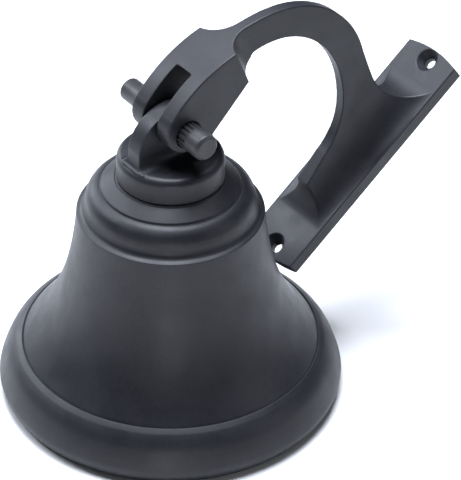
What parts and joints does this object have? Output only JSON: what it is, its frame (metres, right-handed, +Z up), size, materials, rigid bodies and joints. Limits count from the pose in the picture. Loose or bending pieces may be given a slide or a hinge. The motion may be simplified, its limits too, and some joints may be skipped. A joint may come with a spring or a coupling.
{
  "type": "yard dinner bell",
  "caption": "Small cast dinner bell that swings on a pin in a curved wall bracket, with a clapper hung inside it.",
  "frame": {"origin": "middle of the part's footprint, on the surface that the bell's mouth rests on", "axes": "+Z up along the bell's axis, +Y towards the folded wall plate, +X along the hinge pin towards its thick end"},
  "size_m": [0.15, 0.2226, 0.17],
  "materials": {
    "black_casting": "satin black powder coat over a sand casting, with a fine cast grain",
    "black_pin": "satin black coated steel pin, ribbed where it is pressed into the ear",
    "plated_steel": "dull zinc plate",
    "bare_iron": "dark cast iron, a little bright where it strikes"
  },
  "bodies": {
    "bracket": {"wall_bracket": "black_casting", "hinge_pin": "black_pin"},
    "bell": {"bell_shell": "black_casting", "crown_lug": "black_casting", "crown_washer": "plated_steel", "spring_washer": "plated_steel", "crown_nut": "plated_steel", "clapper_fork": "plated_steel", "clapper_pin": "plated_steel", "pin_clip": "plated_steel"},
    "clapper": {"clapper_rod": "plated_steel", "clapper_ball": "bare_iron", "ball_nut": "plated_steel"}
  },
  "joints": [
    {"name": "bell_swing", "type": "hinge", "parent": "bracket", "child": "bell", "pos_m": [0, -0.0363, 0.1348], "axis": [1, 0, 0], "range_deg": [-142, 0]},
    {"name": "clapper_swing", "type": "hinge", "parent": "bell", "child": "clapper", "pos_m": [0, -0.0363, 0.071], "axis": [1, 0, 0], "range_deg": [-45, 45]}
  ]
}
